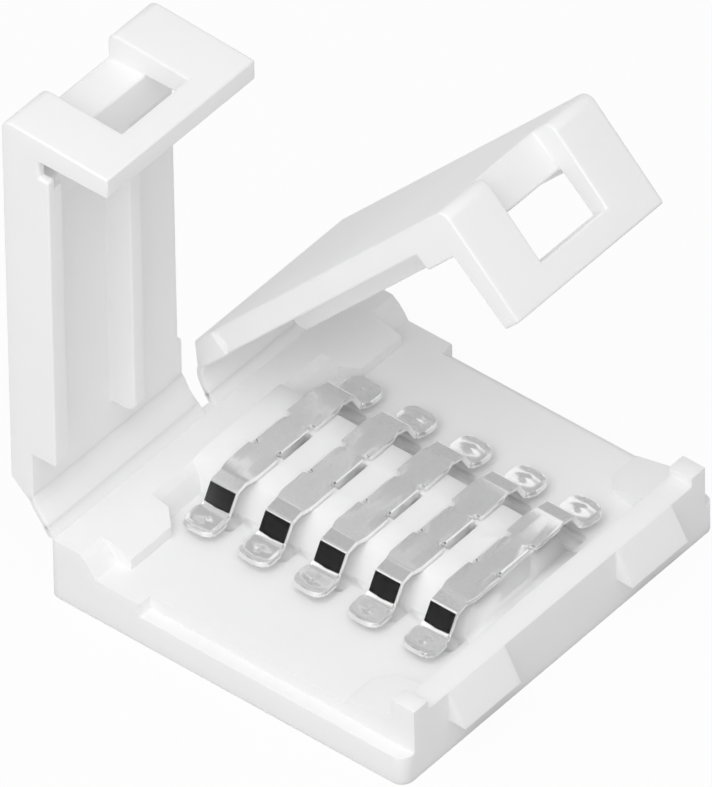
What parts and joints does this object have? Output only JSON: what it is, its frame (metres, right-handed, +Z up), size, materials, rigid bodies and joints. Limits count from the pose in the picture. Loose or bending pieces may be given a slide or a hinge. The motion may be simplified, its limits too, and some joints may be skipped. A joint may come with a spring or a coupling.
{
  "type": "led strip connector",
  "caption": "Moulded connector that closes over a flat light strip, with hinged latching covers and a row of sprung contacts.",
  "frame": {"origin": "centre of the tray's flat underside", "axes": "+X along the strip's run towards the less opened cover, +Y from the latch side to the hinge side, +Z up out of the tray"},
  "size_m": [0.0174, 0.0186, 0.0214],
  "materials": {
    "housing": "white, as moulded, with a fine satin surface",
    "contact_metal": "bright tin plate on spring metal"
  },
  "bodies": {
    "base": {"base": "housing", "near_hinge_film": "housing", "far_hinge_film": "housing", "contact_1": "contact_metal", "contact_2": "contact_metal", "contact_3": "contact_metal", "contact_4": "contact_metal", "contact_5": "contact_metal"},
    "near_cover": {"near_cover": "housing"},
    "far_cover": {"far_cover": "housing"}
  },
  "joints": [
    {"name": "near_cover_hinge", "type": "hinge", "parent": "base", "child": "near_cover", "pos_m": [0, 0.0085, 0.00355], "axis": [1, 0, 0], "range_deg": [-90, 90], "deforming": ["near_hinge_film"]},
    {"name": "far_cover_hinge", "type": "hinge", "parent": "base", "child": "far_cover", "pos_m": [0, 0.0085, 0.00355], "axis": [1, 0, 0], "range_deg": [-132.3, 47.7], "deforming": ["far_hinge_film"]}
  ]
}
